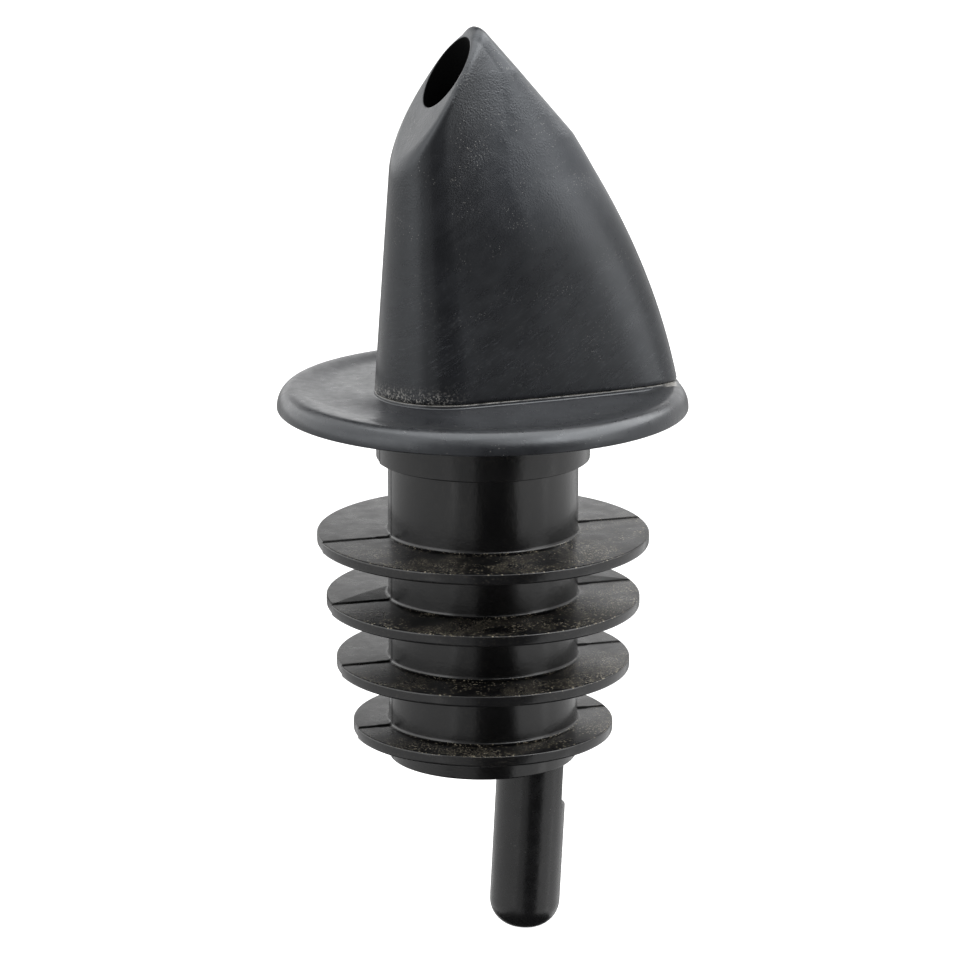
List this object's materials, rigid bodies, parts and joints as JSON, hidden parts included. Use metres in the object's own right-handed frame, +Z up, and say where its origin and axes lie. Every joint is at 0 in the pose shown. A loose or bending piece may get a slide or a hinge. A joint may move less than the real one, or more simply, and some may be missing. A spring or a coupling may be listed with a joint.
{
  "type": "measuring liquor pour spout",
  "caption": "Black moulded bottle pourer: slant-cut bullet hood on a round collar, finned cork stopper, and a closed side-windowed metering tube with timing balls.",
  "frame": {"origin": "on the cork's axis in the plane of the collar's underside, which rests on the bottle's lip", "axes": "+Z up along the cork's axis, XZ the plane of symmetry, liquor pours towards -X"},
  "size_m": [0.0316, 0.0316, 0.0721],
  "materials": {
    "hood_black": "satin moulded",
    "collar_black": "satin moulded",
    "cork_black": "soft satin, dusty",
    "tube_black": "satin moulded",
    "block_grey": "matte moulded",
    "natural_plastic": "satin extruded",
    "retainer_white": "satin moulded",
    "ball_steel": "ground and polished"
  },
  "bodies": {
    "root": {"hood": "hood_black", "collar": "collar_black", "cork": "cork_black", "metering_tube": "tube_black", "valve_block": "block_grey", "vent_tube": "natural_plastic", "vent_ball_retainer": "retainer_white"},
    "metering_ball_upper": {"metering_ball_upper": "ball_steel"},
    "metering_ball_lower": {"metering_ball_lower": "ball_steel"},
    "vent_ball": {"vent_ball": "ball_steel"}
  },
  "joints": [
    {"name": "metering_ball_slide", "type": "slide", "parent": "root", "child": "metering_ball_upper", "axis": [0.0518, -0.0073, 0.9986], "range_m": [0, 0.0097]},
    {"name": "metering_ball_follow", "type": "slide", "parent": "root", "child": "metering_ball_lower", "axis": [0.0518, -0.0073, 0.9986], "range_m": [0, 0.0097]},
    {"name": "vent_ball_slide", "type": "slide", "parent": "root", "child": "vent_ball", "axis": [0, 0, 1], "range_m": [0, 0.0013]}
  ],
  "couplings": [
    {"joint": "metering_ball_follow", "follows": "metering_ball_slide", "ratio": 1}
  ]
}
